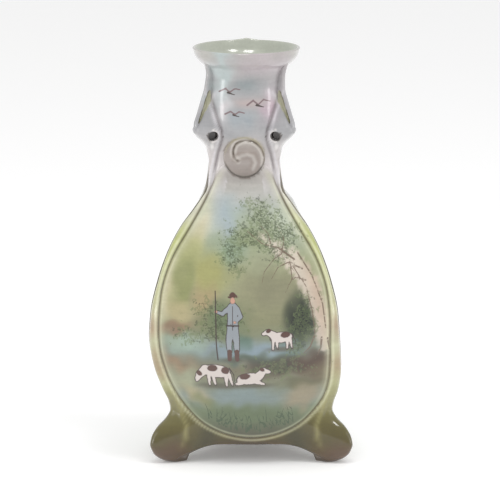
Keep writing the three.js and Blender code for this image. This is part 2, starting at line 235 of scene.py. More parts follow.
# Washes of the front, one of them a painted reflection: side position, height, half width, half height, turn
# in degrees, strength, colour
FRONT_WASHES = [
    (-22, 127, 8, 9, 60, 0.8, (208, 210, 184)),
    (-8, 127, 7, 8, 0, 0.9, (166, 180, 186)),
    (-24, 119, 9, 5, 50, 0.8, (218, 208, 178)),
    (-28, 111, 9, 7, 50, 0.8, (178, 178, 122)),
    (-6, 111, 7, 7, 0, 0.9, (146, 166, 142)),
    (-18, 100, 9, 9, 20, 0.9, (168, 166, 104)),
    # painted reflection of a window: the pale upright streak on the left
    (-39, 92, 5, 16, -8, 0.9, (208, 198, 160)),
    (-31, 92, 5, 16, -6, 0.9, (146, 150, 96)),
    (-19, 84, 6, 9, 10, 0.8, (178, 156, 114)),
    (-10, 78, 10, 8, 0, 0.9, (106, 122, 90)),
    (-32, 79, 6, 6, 0, 0.7, (196, 180, 140)),
    (10, 122, 14, 9, -20, 0.9, (160, 170, 140)),
    (3, 116, 8, 4, 0, 0.8, (148, 158, 120)),
    (21, 124, 6, 9, 30, 0.7, (186, 194, 172)),
    (10, 106, 12, 6, 0, 0.7, (160, 164, 134)),
    (14, 92, 14, 9, 0, 0.8, (136, 134, 106)),
    (28, 76, 6.5, 12, 0, 1.0, (16, 26, 16)),
    (22, 62, 6, 6, 0, 0.9, (74, 96, 80)),
    (1, 62, 24, 4.6, 0, 1.0, (134, 152, 162)),
    (-3, 66, 5, 4, 0, 0.8, (90, 118, 102)),
    (-30, 65, 9, 5, 0, 0.8, (162, 184, 168)),
    (-36, 72, 9, 2.6, 10, 0.9, (142, 116, 90)),
    (-36, 54, 8, 4.5, -15, 0.9, (152, 126, 96)),
    (4, 57.5, 17, 2.2, 0, 0.9, (80, 94, 78)),
    (15, 53.5, 13, 4, 0, 0.9, (62, 52, 38)),
    (35, 55, 11, 4.5, 10, 0.95, (72, 50, 34)),
    (37, 48, 9, 6, 0, 0.7, (104, 90, 64)),
    (26, 44, 9, 2.6, 0, 0.8, (92, 92, 62)),
    (-32, 46, 8, 6, 0, 0.8, (168, 172, 142)),
    (-27, 38, 8, 4, -30, 0.8, (178, 166, 130)),
    (-23, 34, 6, 2.6, -25, 0.7, (118, 124, 78)),
    (-4, 38, 15, 5.5, 0, 0.9, (130, 146, 146)),
    (-3, 27, 20, 5, 0, 0.9, (100, 116, 84)),
    (26, 37, 9, 6, 20, 0.8, (158, 144, 116)),
]
# Tree trunk on the front: points along its middle, and its half width at each
TRUNK_PATH = [(7, 119), (15, 113.5), (23, 107), (30, 98), (36, 86), (40, 74), (42.5, 66)]
TRUNK_HALF_WIDTHS = [0.8, 3.0, 4.6, 5.0, 4.6, 4.6, 7.0]
# Washes of the two plainer sides
SIDE_WASHES = [
    (-20, 112, 12, 10, 30, 0.8, (186, 190, 130)),
    (14, 116, 13, 9, -20, 0.9, (146, 164, 128)),
    (-2, 126, 10, 8, 0, 0.8, (176, 190, 202)),
    (-28, 88, 8, 18, 0, 0.8, (150, 154, 104)),
    (26, 84, 9, 16, 0, 0.8, (104, 126, 96)),
    (2, 88, 16, 10, 0, 0.7, (188, 186, 146)),
    (0, 62, 28, 5, 0, 0.9, (152, 174, 184)),
    (-24, 52, 12, 4, 0, 0.8, (146, 120, 92)),
    (22, 50, 14, 4, 0, 0.8, (140, 134, 104)),
    (0, 36, 18, 6, 0, 0.8, (150, 168, 166)),
    (0, 25, 22, 5, 0, 0.9, (128, 148, 110)),
]
# Shapes of the picture on the front: a herdsman with a staff by the pond, and three calves. Each
# has its limbs, as paths with half widths, then its ovals, as centre, half sizes and turn.
SHAPES = {
    "hide": (
        [
            ([(14.6, 69.6), (11.8, 71.4), (9.6, 70.4)], [2.0, 1.4, 0.9]),
            ([(14.6, 67), (14.2, 62.4)], [0.9, 0.55]), ([(16.2, 67), (16.6, 62.8)], [0.9, 0.5]),
            ([(21.6, 67), (21.4, 62.6)], [1.0, 0.55]), ([(23.0, 67.4), (23.8, 62.9)], [0.9, 0.5]),
            ([(-20.8, 52), (-24.6, 48.6), (-26.2, 45.8)], [2.3, 1.7, 1.0]),
            ([(-19.6, 49), (-20.0, 43.6)], [1.1, 0.6]), ([(-17.6, 48.6), (-17.0, 44.0)], [1.1, 0.6]),
            ([(-11.0, 49), (-11.4, 43.4)], [1.3, 0.6]), ([(-9.4, 49.4), (-8.4, 43.9)], [1.1, 0.6]),
            ([(5.6, 48.8), (8.4, 51.6), (10.8, 50.9)], [2.1, 1.6, 1.0]),
            ([(3.6, 45.6), (7.4, 44.6)], [1.2, 0.7]), ([(-3.6, 45.4), (-6.4, 44.4)], [1.4, 0.8]),
        ],
        [(18.6, 68.4, 5.6, 2.7, 3), (-15.2, 51.2, 6.8, 3.4, -4), (0.6, 47.4, 6.6, 3.0, 8)],
    ),
    "brown": (
        [([(-4.0, 61.4), (-4.2, 57.4)], [1.25, 1.0]), ([(-7.6, 61.4), (-8.0, 57.6)], [1.2, 1.0]),
         ([(-7.9, 88.7), (-3.7, 88.9)], [0.45, 0.45])],
        [(20.6, 69.6, 2.4, 1.5, 0), (12.2, 71.9, 1.3, 1.0, 20), (-17.4, 52.6, 2.6, 1.7, 10),
         (-11.0, 51.6, 2.0, 1.8, 0), (-24.4, 49.6, 1.3, 1.5, 40), (-1.6, 48.6, 2.8, 1.5, 10),
         (7.6, 52.2, 1.3, 1.0, -20), (-5.8, 89.8, 1.7, 1.3, 0)],
    ),
    "coat": (
        [([(-5.8, 83.4), (-5.9, 78.0), (-5.8, 71.6)], [2.7, 2.5, 3.0]),
         ([(-3.6, 83.2), (-1.8, 79.2), (-4.2, 76.6)], [1.2, 1.1, 0.85]),
         ([(-8.0, 83.2), (-11.0, 80.4), (-13.4, 81.2)], [1.2, 1.05, 0.8]),
         ([(-4.6, 71), (-3.9, 66.5), (-4.0, 61.6)], [1.9, 1.5, 1.2]),
         ([(-7.0, 71), (-7.7, 66.5), (-7.6, 61.6)], [1.9, 1.5, 1.2])],
        [],
    ),
    "skin": (
        [],
        [(-5.8, 87.0, 1.25, 1.6, 0), (-14.2, 81.4, 0.75, 0.75, 0), (-4.8, 76.3, 0.8, 0.65, 0)],
    ),
    "leaf": (
        [([(25, 62), (28, 70), (30, 78), (31, 86)], [2.5, 4.5, 4.5, 1.5]),
         ([(-34, 69), (-20, 70.5), (-8, 69)], [0.8, 1.6, 1.2])],
        [(1, 118, 8, 4, 10), (14, 112, 6, 3, -30), (8, 130, 5, 2.5, -20), (-6.5, 111, 4.5, 4.2, 0),
         (-5, 105, 3, 3, 0), (11, 125, 9, 4.5, -20), (20, 118, 6, 5, 0), (-12, 76, 8, 4.5, 10),
         (-19, 82, 4, 3, 0), (14, 52.5, 8, 2.4, 0)],
    ),
}
# Shadows under the figures: side position, height, half width, half height
GROUND_SHADOWS = [(-15, 43.2, 10, 1.5), (1.5, 43.9, 9, 1.3), (19, 62.4, 6.5, 1.1), (-6, 57.0, 4.5, 0.9)]

# Thin strokes of each tone: points, half width at the start and the end
STROKES = {
    "bark": [
        ([(25, 106.4), (17, 112.2), (9, 114.4), (2, 120)], 0.45, 0.15),
        ([(20, 110), (15, 107), (10, 101), (9, 96)], 0.3, 0.1),
        ([(29, 101.6), (22, 105), (17, 103), (14, 98)], 0.4, 0.12),
        ([(23, 104.6), (24, 97), (21, 91)], 0.3, 0.1),
        ([(30.6, 96), (25.6, 97.6), (22, 94)], 0.35, 0.12),
        ([(13.5, 113.4), (12, 119), (8, 123)], 0.25, 0.1),
        ([(19, 110.6), (20, 116), (17, 122)], 0.25, 0.1),
        ([(27, 109.0), (34, 98), (39.4, 84), (41, 72)], 0.35, 0.3),
        ([(24.4, 103), (31, 93), (34.4, 80), (35.6, 69)], 0.2, 0.25),
        ([(35.4, 68), (33, 62.6), (30, 60)], 0.5, 0.15),
        ([(39, 66.6), (38.4, 62), (36.6, 58.6)], 0.6, 0.15),
        ([(42, 66), (42.4, 61)], 0.5, 0.15),
    ],
    "ink": [
        ([(-13.9, 57.6), (-14.6, 91.0)], 0.32, 0.24),
        ([(24.0, 69.6), (25.6, 66.6), (25.4, 64.4)], 0.25, 0.15),
        ([(-8.6, 52.6), (-7.0, 49.6), (-7.2, 46.4)], 0.25, 0.18),
        ([(-5.9, 83.6), (-5.9, 73.0)], 0.15, 0.15),
        ([(-8.4, 74.6), (-3.2, 74.6)], 0.35, 0.35),
        ([(6.2, 183.0), (9.2, 182.0)], 0.6, 0.2),
        ([(-8.2, 189.2), (-5.4, 188.4)], 0.5, 0.2),
        ([(-5.4, 178.0), (-3.2, 177.4)], 0.45, 0.2),
    ],
    "plume": [
        ([(-12.4, 189.6), (-9.6, 191.2), (-7.4, 189.4), (-5.0, 191.4), (-2.8, 191.0)], 0.4, 0.3),
        ([(1.6, 183.2), (4.4, 185.4), (7.0, 183.2), (9.6, 185.6), (12.6, 184.6)], 0.45, 0.3),
        ([(-9.4, 178.4), (-6.8, 179.8), (-4.8, 178.2), (-2.6, 179.8), (-0.4, 179.2)], 0.4, 0.3),
    ],
}
# Blades of grass along the bottom of the front field: count, spacing and first side position
GRASS_BLADES = 30
GRASS_PACE = 1.45
GRASS_FROM = -21.0
# Colours of the shapes and strokes
TONES = {
    "bark": (112, 94, 78), "ink": (58, 46, 40), "plume": (124, 104, 106), "grass": (66, 84, 60),
    "hide": (212, 202, 196), "coat": (146, 152, 158), "brown": (84, 54, 44), "skin": (200, 152, 132),
    "leaf": (104, 118, 76), "deep_leaf": (48, 60, 36),
}

# The number stored where no shape or stroke is near
FAR = 9.0

# Noise in the glaze, in cells to the metre
BROAD_NOISE = 90
STREAK_NOISE = 260
GRAIN_NOISE = 700
FINE_NOISE = 1100
BUMP_NOISE = 160
# Brightness of the darkest glaze, and how much each noise adds to it
MOTTLE_BASE = 0.62
BROAD_MOTTLE = 0.24
GRAIN_MOTTLE = 0.16
STREAK_MOTTLE = 0.2
# Foliage: noise, how far it reaches past its shapes, tone
FOLIAGE = ((300, -0.6, "leaf"), (420, 1.6, "deep_leaf"))
# Strength of the outline drawn round each kind of shape
OUTLINES = (("hide", 0.9), ("coat", 0.9), ("brown", 0.2), ("skin", 0.3))
ROUGHNESS = 0.14
ROUGHNESS_SPREAD = 0.12
BUMP_STRENGTH = 0.08
BUMP_DISTANCE = 0.0004

# Lights, in metres and watts: name, place, width and height, power, target
BODY = (0, 0, 0.11)
NECK = (0, 0, 0.19)
AREA_LIGHTS = [
    ("top_front", (-0.1, -0.42, 1.5), (0.36, 0.36), 3.6, BODY),
    ("top_right", (0.45, -0.35, 1.25), (0.3, 0.3), 2.6, BODY),
    ("left_wall", (-1.6, -0.7, 0.5), (1.0, 1.6), 4.0, BODY),
    ("right_wall", (1.6, -0.5, 0.5), (0.8, 1.4), 2.4, BODY),
    ("left_window", (-0.75, -0.33, 0.1), (0.16, 0.12), 0.2, NECK),
    ("right_window", (0.75, -0.22, 0.1), (0.12, 0.1), 0.12, NECK),
]
WORLD_STRENGTH = 0.74
FLOOR_HALF = 6.0
FLOOR_GLOW = 0.16
FLOOR_COLOUR = (0.95, 0.95, 0.95, 1)
WHITE = (1, 1, 1, 1)

# Camera: metres in front of the vase and up, degrees down
CAMERA_DISTANCE = 1.6
CAMERA_HEIGHT = 0.429
CAMERA_DOWN = 11.444


def smoothstep(value, low, high):
    share = np.clip((value - low) / (high - low), 0, 1)
    return share * share * (3 - 2 * share)


def fade(value, span):
    """Fades in between the first two of a span's four stops, and out between the last two."""
    return smoothstep(value, span[0], span[1]) * (1 - smoothstep(value, span[2], span[3]))


def mix(a, b, share):
    return a + (b - a) * share


def bell(off, width):
    """Soft bump: 1 in its middle, and nothing a few widths away."""
    return np.exp(-((off / width) ** 2))


def waves_at(off, waves):
    """Grooves and ridges beside a line, each with its height, offset and width."""
    return sum(height * bell(off - offset, width) for height, offset, width in waves)


def read(stations, at):
    """Straight lines through stations of place and value."""
    return np.interp(at, stations[:, 0], stations[:, 1])


def stacked(*columns):
    """Rows of numbers from columns or single numbers."""
    return np.stack(np.broadcast_arrays(*columns), -1)


def spin(x, y, turn):
    """Turns positions about the axis."""
    return x * math.cos(turn) - y * math.sin(turn), x * math.sin(turn) + y * math.cos(turn)


def along(stations, height, column):
    """Smooth curve through one column of a list of stations, read at heights."""
    knots, values = stations[:, 0], stations[:, column]
    rise = np.diff(values) / np.diff(knots)
    product = rise[:-1] * rise[1:]
    total = np.where(product > 0, rise[:-1] + rise[1:], 1)
    slope = np.concatenate([rise[:1], np.where(product > 0, 2 * product / total, 0), rise[-1:]])
    height = np.clip(height, knots[0], knots[-1])
    i = np.clip(np.searchsorted(knots, height) - 1, 0, len(knots) - 2)
    span = knots[i + 1] - knots[i]
    t = (height - knots[i]) / span
    return ((2 * t**3 - 3 * t**2 + 1) * values[i] + (t**3 - 2 * t**2 + t) * span * slope[i]
            + (3 * t**2 - 2 * t**3) * values[i + 1] + (t**3 - t**2) * span * slope[i + 1])


def off_corner(angle):
    """Angle between a direction and the nearest corner."""
    return np.min([np.arccos(np.clip(np.cos(angle - c), -1, 1)) for c in CORNERS], axis=0)


def body_reach(angle, z, inset=0.0):
    """Distance from the axis to the rounded three-sided section."""
    corner = along(SECTIONS, z, 1) - inset
    side = along(SECTIONS, z, 2) - inset
    total = sum(np.maximum(0, np.cos(angle - s)) ** SHARPNESS for s in SIDES)
    return side * (corner / side) ** (np.log(total) / math.log(2 * 0.5**SHARPNESS))


def thickness(z):
    """Thickness of the wall."""
    return mix(WALL, LIP, smoothstep(z, *THINNING))


def ear_reach(angle, z):
    off = off_corner(angle)
    along_corner = np.abs(np.cos(off)) / along(EAR_SECTIONS, z, 1)
    across = np.sin(off) / along(EAR_SECTIONS, z, 2)
    reach = (along_corner**EAR_SQUARENESS + across**EAR_SQUARENESS) ** (-1 / EAR_SQUARENESS)
    return np.where((z < EAR_SECTIONS[0, 0]) | (z > EAR_SECTIONS[-1, 0]), 0, reach)


def foot_reach(angle, z):
    off = np.clip(off_corner(angle) / FOOT_HALF_ANGLE, 0, 1)
    lobe = np.cos(off * math.pi / 2)
    return FOOT_REACH * along(FOOT_OUTLINE, z, 1) * (0.62 * lobe**2 + 0.38 * lobe**9)


def band_reach(angle, z):
    return BAND_SWELL * fade(z, BAND_SPAN) * bell(off_corner(angle), BAND_HALF_ANGLE)


def bump_reach(angle, z):
    spread = np.where(z > BUMP_HEIGHT, BUMP_ABOVE, BUMP_BELOW)
    return BUMP_RISE * bell(z - BUMP_HEIGHT, spread) * np.maximum(0, np.cos(angle - BUMP_ANGLE)) ** 8


def line_relief(angle, reach, line_x, across, waves, facing):
    """Relief beside a line drawn on each side, mirrored about the side's middle."""
    total = 0
    for side in SIDES:
        off = (np.abs(reach * np.sin(angle - side)) - line_x) * across
        total = total + np.where(np.cos(angle - side) > facing, waves_at(off, waves), 0)
    return total


def outer_reach(angle, z):
    """Distance from the axis to the outside, with the creases and the feet's ridges."""
    body = body_reach(angle, z) + foot_reach(angle, z) + band_reach(angle, z) + bump_reach(angle, z)
    reach = np.maximum(body, ear_reach(angle, z))
    crease = line_relief(angle, reach, read(CREASE, z), CREASE_ACROSS, CREASE_WAVES, 0)
    ridge = line_relief(angle, reach, read(FOOT_RIDGE, z), 1, FOOT_RIDGE_WAVES, 0.5)
    return reach + crease * fade(z, CREASE_SPAN) + ridge * fade(z, FOOT_RIDGE_SPAN)


def edge_height(angle):
    """Lower edge of the wall: on the ground at the feet, arched between them."""
    off = np.maximum(0, off_corner(angle) - PAD_HALF_ANGLE)
    return ARCH_HEIGHT * (1 - np.exp(-off / ARCH_SPREAD))


def place(angle, reach, z):
    """Point at a direction and reach from the axis."""
    return stacked(reach * np.cos(angle), reach * np.sin(angle), z)


def lean_at(z):
    return MOUTH_LEAN * smoothstep(z, 186, 204) - LEAN * smoothstep(z, LEAN_FROM, LEAN_TO)


def closed_stack(rings):
    """Skin through rings of points, closed by a point at each end. Returns points and faces."""
    count = len(rings[0])
    ends = [rings[0].mean(axis=0), rings[-1].mean(axis=0)]
    points = np.concatenate([ends[:1], *rings, ends[1:]])
    faces = []
    column = np.arange(count)
    after = (column + 1) % count
    for ring in range(len(rings) - 1):
        low, high = 1 + ring * count, 1 + (ring + 1) * count
        faces.extend(stacked(low + column, low + after, high + after, high + column).tolist())
    top = 1 + (len(rings) - 1) * count
    faces.extend(stacked(0, 1 + after, 1 + column).tolist())
    faces.extend(stacked(len(points) - 1, top + column, top + after).tolist())
    return points, faces


def turned(part, side):
    """Turns what is drawn for the front side so that it faces another side."""
    points, faces = part
    return stacked(*spin(points[:, 0], points[:, 1], side - SIDES[0]), points[:, 2]), faces


def inside_out(part):
    points, faces = part
    return points, [face[::-1] for face in faces]


def spaced(*stops):
    """Heights in runs of (from, to, steps), joined without repeats."""
    heights = [np.linspace(low, high, steps, endpoint=False) for low, high, steps in stops]
    return np.concatenate([*heights, [stops[-1][1]]])


def under_rings(angles):
    """Rings of the underside, from the middle of the base to the lower edge of the wall."""
    base = body_reach(angles, BASE_PLANE)
    rings = [place(angles, base * share, BASE_PLANE - drop) for share, drop in BASE_RINGS]
    last_share, last_drop = BASE_RINGS[-1]
    edge = edge_height(angles)
    inner = outer_reach(angles, edge) - PAD_LENGTH * (1 - 0.7 * edge / ARCH_HEIGHT)
    for share in (0.3, 0.65, 1.0):
        z = mix(BASE_PLANE - last_drop, edge, share**1.6)
        rings.append(place(angles, mix(base * last_share, inner, share), z))
    rings.append(place(angles, outer_reach(angles, edge) - 0.5, edge))
    return rings


def outside_rings(angles):
    """Rings of the outside, from the lower edge of the wall up and over the lip."""
    edge = edge_height(angles)
    rings = []
    for row in range(SPLAY_ROWS):
        z = mix(edge, SPLAY_TOP, (row / SPLAY_ROWS) ** 1.2 * 0.985 + 0.015)
        rings.append(place(angles, outer_reach(angles, z), z))
    rings.extend(place(angles, outer_reach(angles, z), z) for z in spaced(*OUTER_RUNS))
    off_back = np.abs(np.angle(np.exp(1j * (angles - CORNERS[2]))))
    point = LIP_POINT_RISE * np.maximum(0, 1 - off_back / LIP_POINT_HALF_ANGLE) ** 1.3
    top = outer_reach(angles, HEIGHT)
    rings.extend(place(angles, top - inset, HEIGHT - drop + point) for inset, drop in LIP_RINGS)
    return rings


def inside_rings(angles):
    rings = [place(angles, body_reach(angles, z, thickness(z)), z) for z in spaced(*INNER_RUNS)]
    floor_reach = body_reach(angles, FLOOR_TOP + 6, WALL)
    rings.extend(place(angles, floor_reach * share, FLOOR_TOP + rise) for share, rise in FLOOR_RINGS)
    return rings


def skin():
    """Outside and inside of the vase as one closed skin."""
    share = np.arange(SECTOR_COLUMNS) / SECTOR_COLUMNS
    sector = np.radians(120 * share - COLUMN_CROWDING * np.sin(2 * math.pi * share))
    angles = np.concatenate([corner + sector for corner in CORNERS])
    return closed_stack(under_rings(angles) + outside_rings(angles) + inside_rings(angles))


def angle_at(x, z):
    """Direction from the axis, off the front's middle, of the outside at a side position and height."""
    low, high = np.zeros_like(x), np.full_like(x, math.radians(60))
    for _ in range(26):
        middle = (low + high) / 2
        short = outer_reach(SIDES[0] + middle, z) * np.sin(middle) < np.abs(x)
        low, high = np.where(short, middle, low), np.where(short, high, middle)
    return np.sign(x) * (low + high) / 2


def field_outline(count):
    """Outline of a field at an even pace, anticlockwise from its lowest point."""
    half = np.array(FIELD_OUTLINE, float)[::-1]
    corners = np.concatenate([half, half[:0:-1] * [-1, 1], half[:1]])
    step = np.linalg.norm(np.diff(corners, axis=0), axis=1)
    length = np.concatenate([[0], np.cumsum(step)])
    fine = np.linspace(0, length[-1], OUTLINE_SAMPLES, endpoint=False)
    path = stacked(*[np.interp(fine, length, column) for column in corners.T])
    # the path is smoothed by a moving average along its length
    window = OUTLINE_SMOOTHING
    kernel = np.hanning(window + 2)[1:-1]
    kernel /= kernel.sum()
    padded = np.concatenate([path[-window:], path, path[:window]])
    smooth = stacked(*[np.convolve(column, kernel, "same") for column in padded.T])[window:-window]
    return smooth[np.arange(count) * OUTLINE_SAMPLES // count]


def field(side, count, ring_count):
    """Raised field on one side, as a closed shell whose rings follow its outline."""
    outline = field_outline(count)
    middle = np.array([0.0, FIELD_MIDDLE])

    def ring(share, lift):
        flat = middle + (outline - middle) * share
        angle = SIDES[0] + angle_at(flat[:, 0], flat[:, 1])
        reach = outer_reach(angle + side - SIDES[0], flat[:, 1]) + lift
        return place(angle, reach, flat[:, 1])

    rings = [ring(share, FIELD_RISE) for share in np.linspace(0.01, 0.985, ring_count)]
    rings.extend(ring(share, lift) for share, lift in FIELD_EDGE_RINGS)
    rings.extend(ring(share, FIELD_ROOT) for share in FIELD_ROOT_SHARES)
    return turned(closed_stack(rings), side)


def off_segment(x, z, start, end):
    """Distance from points to a straight line between two ends, and the share along it."""
    (ax, az), (bx, bz) = start, end
    dx, dz = bx - ax, bz - az
    share = np.clip(((x - ax) * dx + (z - az) * dz) / (dx * dx + dz * dz), 0, 1)
    return np.hypot(x - ax - share * dx, z - az - share * dz), share


def distance_to_path(x, z, path):
    """Distance from points to a line through the path's points."""
    return reduce(np.minimum, (off_segment(x, z, *ends)[0] for ends in zip(path[:-1], path[1:])))


def spiral_path(count):
    """Points along the spiral's line."""
    degrees = np.linspace(SPIRAL_LINE[0, 0], SPIRAL_LINE[-1, 0], count)
    reach = read(SPIRAL_LINE, degrees)
    return stacked(reach * np.cos(np.radians(degrees)), reach * np.sin(np.radians(degrees)))


def roll_relief(x, z):
    """Height of the front roll's face over its plane: dome, spiral and curl."""
    dome = ROLL_DOME * (1 - (np.hypot(x, z) / ROLL_RADIUS) ** 2)
    spiral = waves_at(distance_to_path(x, z, spiral_path(60)), SPIRAL_WAVES)
    return dome + spiral + CURL_RISE * bell(distance_to_path(x, z, CURL), CURL_WIDTH)


def roll(radius, face, depth):
    """Rolled spiral as a closed shell. Depth scales its relief."""
    size = radius / ROLL_RADIUS
    around = np.linspace(0, 2 * math.pi, 80, endpoint=False)

    def ring(reach, forward):
        return stacked(size * reach * np.cos(around), -forward, ROLL_Z + size * reach * np.sin(around))

    rings = []
    for reach in np.linspace(0.3, 9.7, 24):
        relief = roll_relief(reach * np.cos(around), reach * np.sin(around))
        rings.append(ring(reach, face + depth * relief))
    rings.extend(ring(reach, face - depth * back) for reach, back in ROLL_EDGE_RINGS)
    rings.append(ring(ROLL_ROOT_REACH, ROLL_ROOT))
    return inside_out(closed_stack(rings))


def fin():
    """Fin under the lip for the corner at +X, as a closed shell with a blind loop in each face."""
    rings = []
    across = np.linspace(0, 1, 15)
    for z in spaced(*FIN_RUNS):
        tip = along(FIN_EDGE, z, 1)
        root = body_reach(CORNERS[1], z) - thickness(z) / 2
        u = root + (tip - root) * across
        inside = fade(u, (19.5, 20.6, tip - 2.3, tip - 1.6))
        window = fade(z, (LOOP_LOW, LOOP_LOW + 1.2, LOOP_HIGH - 3, LOOP_HIGH))
        half = mix(FIN_HALF_THICKNESS, LOOP_WEB, inside * window)
        half = half * np.sqrt(np.clip((tip - u) / FIN_EDGE_ROUNDING, 0, 1) + 0.001)
        rings.append(np.concatenate([stacked(u, half, z), stacked(u, -half, z)[::-1]]))
    return inside_out(closed_stack(rings))


def eye_pin(hand):
    """Cutter for the blind round eye on the right or left of the front."""
    around = np.linspace(0, 2 * math.pi, 40, endpoint=False)
    rings = []
    for reach, depth in EYE_RINGS:
        x, y = spin(reach * np.cos(around), -depth, -hand * EYE_TURN)
        rings.append(stacked(x + hand * EYE_X, y - EYE_BOTTOM, reach * np.sin(around) + EYE_Z))
    return closed_stack(rings)


def new_object(name, data):
    obj = bpy.data.objects.new(name, data)
    bpy.context.scene.collection.objects.link(obj)
    return obj


def mesh_object(name, parts):
    """Blender object from parts, moved onto the vase's leaning axis."""
    points, faces, start = [], [], 0
    for part_points, part_faces in parts:
        points.append(part_points)
        faces.extend([[i + start for i in face] for face in part_faces])
        start += len(part_points)
    points = np.concatenate(points)
    points[:, 0] += AXIS_X + lean_at(points[:, 2])
    points[:, 1] += AXIS_Y
    mesh = bpy.data.meshes.new(name)
    mesh.from_pydata((points * MM).tolist(), [], faces)
    mesh.validate()
    return new_object(name, mesh)


def combine(body, other, operation):
    """Joins another object to the body, or cuts it away, and deletes it."""
    change = body.modifiers.new(operation.lower(), "BOOLEAN")
    change.object = other
    change.operation = operation
    change.solver = "MANIFOLD"
    depsgraph = bpy.context.evaluated_depsgraph_get()
    made = bpy.data.meshes.new_from_object(body.evaluated_get(depsgraph))
    body.modifiers.clear()
    body.data = made
    bpy.data.objects.remove(other)


def build_vase():
    body = mesh_object("vase_glazed", [skin()])
    eyes = [turned(eye_pin(hand), side) for side in SIDES for hand in (1, -1)]
    combine(body, mesh_object("eyes", eyes), "DIFFERENCE")
    for corner in CORNERS:
        combine(body, mesh_object("fin", [turned(fin(), corner + SIDES[0])]), "UNION")
    front_roll, side_roll = (ROLL_RADIUS, ROLL_FACE, 1.0), (SIDE_ROLL_RADIUS, SIDE_ROLL_FACE, 0.6)
    for side, size in zip(SIDES, (front_roll, side_roll, side_roll)):
        combine(body, mesh_object("roll", [turned(roll(*size), side)]), "UNION")
    for side, count, rings in zip(SIDES, (300, 110, 110), (64, 22, 22)):
        combine(body, mesh_object("field", [field(side, count, rings)]), "UNION")
    body.data.shade_smooth()
    body.data.set_sharp_from_angle(angle=SMOOTH_BELOW)
    return body


def principled(name):
    """New material and its Principled BSDF."""
    material = bpy.data.materials.new(name)
    material.use_nodes = True
    return material, material.node_tree.nodes["Principled BSDF"]


def grass_strokes():
    """Blades of grass as strokes: points, half width at the start and the end."""
    rng = np.random.default_rng(11)
    blades = []
    for i in range(GRASS_BLADES):
        x = GRASS_FROM + GRASS_PACE * i + rng.uniform(-0.7, 0.7)
        foot = 17.5 + 0.012 * x * x + rng.uniform(0, 3)
        tall = rng.uniform(4, 10)
        lean = rng.uniform(-1.8, 1.8)
        blades.append(([(x, foot), (x + 0.3 * lean, foot + 0.6 * tall), (x + lean, foot + tall)], 0.26, 0.1))
    return blades


def stroke_offsets(x, z, strokes):
    """Offset to one side of the nearest stroke, in its half widths, and the distance from it."""
    nearest = np.full(np.shape(x), FAR)
    offset = np.full(np.shape(x), FAR)
    for path, half_start, half_end in strokes:
        for i, (start, end) in enumerate(zip(path[:-1], path[1:])):
            away, share = off_segment(x, z, start, end)
            half = mix(half_start, half_end, (i + share) / (len(path) - 1))
            dx, dz = end[0] - start[0], end[1] - start[1]
            side = ((x - start[0]) * dz - (z - start[1]) * dx) / math.hypot(dx, dz) / half
            offset = np.where(away < nearest, side, offset)
            nearest = np.minimum(nearest, away)
    return offset, nearest


def oval(x, z, centre_x, centre_z, half_width, half_height, turn=0.0):
    """About the distance outside an oval, below zero inside it."""
    angle = math.radians(turn)
    across = (x - centre_x) * math.cos(angle) + (z - centre_z) * math.sin(angle)
    up = (z - centre_z) * math.cos(angle) - (x - centre_x) * math.sin(angle)
    return (np.hypot(across / half_width, up / half_height) - 1) * min(half_width, half_height)


def limb(x, z, path, half_widths):
    """Distance outside a line whose half width changes along it."""
    best = np.inf
    for *ends, wide, narrow in zip(path[:-1], path[1:], half_widths[:-1], half_widths[1:]):
        away, share = off_segment(x, z, *ends)
        best = np.minimum(best, away - mix(wide, narrow, share))
    return best


def shape_distance(x, z, shape):
    """Distance outside a named shape of the picture."""
    limbs, ovals = shape
    return reduce(np.minimum, [limb(x, z, *one) for one in limbs] + [oval(x, z, *one) for one in ovals])


def to_linear(colour):
    share = np.asarray(colour, float) / 255
    return np.where(share <= 0.04045, share / 12.92, ((share + 0.055) / 1.055) ** 2.4)


def colour_at(stops, height):
    """Colour read from stops of height and colour."""
    knots, colours = zip(*stops)
    return stacked(*[np.interp(height, knots, channel) for channel in zip(*colours)])


def wander(x, z, size, seed):
    """Smooth random-looking field between about -1 and 1, made of waves."""
    rng = np.random.default_rng(seed)
    total = 0
    for _ in range(9):
        turn, phase = rng.uniform(0, 2 * math.pi, 2)
        pace = 2 * math.pi / size * rng.uniform(0.5, 1.8)
        total = total + np.sin((x * math.cos(turn) + z * math.sin(turn)) * pace + phase)
    return total / 3.2


def lay(colour, over, share):
    """Mixes a colour over the painted ones where share is above zero."""
    return mix(colour, np.asarray(over, float), np.clip(share, 0, 1)[:, None])


def wash(colour, x, z, washes):
    """Soft-edged brush areas laid one over another."""
    warped_x = x + 1.6 * wander(x, z, 16, 3)
    warped_z = z + 1.4 * wander(x, z, 14, 4)
    for *shape, strength, over in washes:
        away = oval(warped_x, warped_z, *shape)
        soft = 0.7 * min(shape[2:4])
        colour = lay(colour, over, strength * (1 - smoothstep(away, -soft, soft)))
    return colour


def outline_distance(x, z):
    """Distance outside a field's outline, below zero inside it."""
    path = field_outline(160)
    half_x, half_z = path[:81].T
    half_z = np.maximum.accumulate(half_z)
    away = distance_to_path(x, z, np.concatenate([path, path[:1]]))
    inside = (np.abs(x) < np.interp(z, half_z, half_x)) & (z > half_z[0]) & (z < half_z[-1])
    return np.where(inside, -away, away)


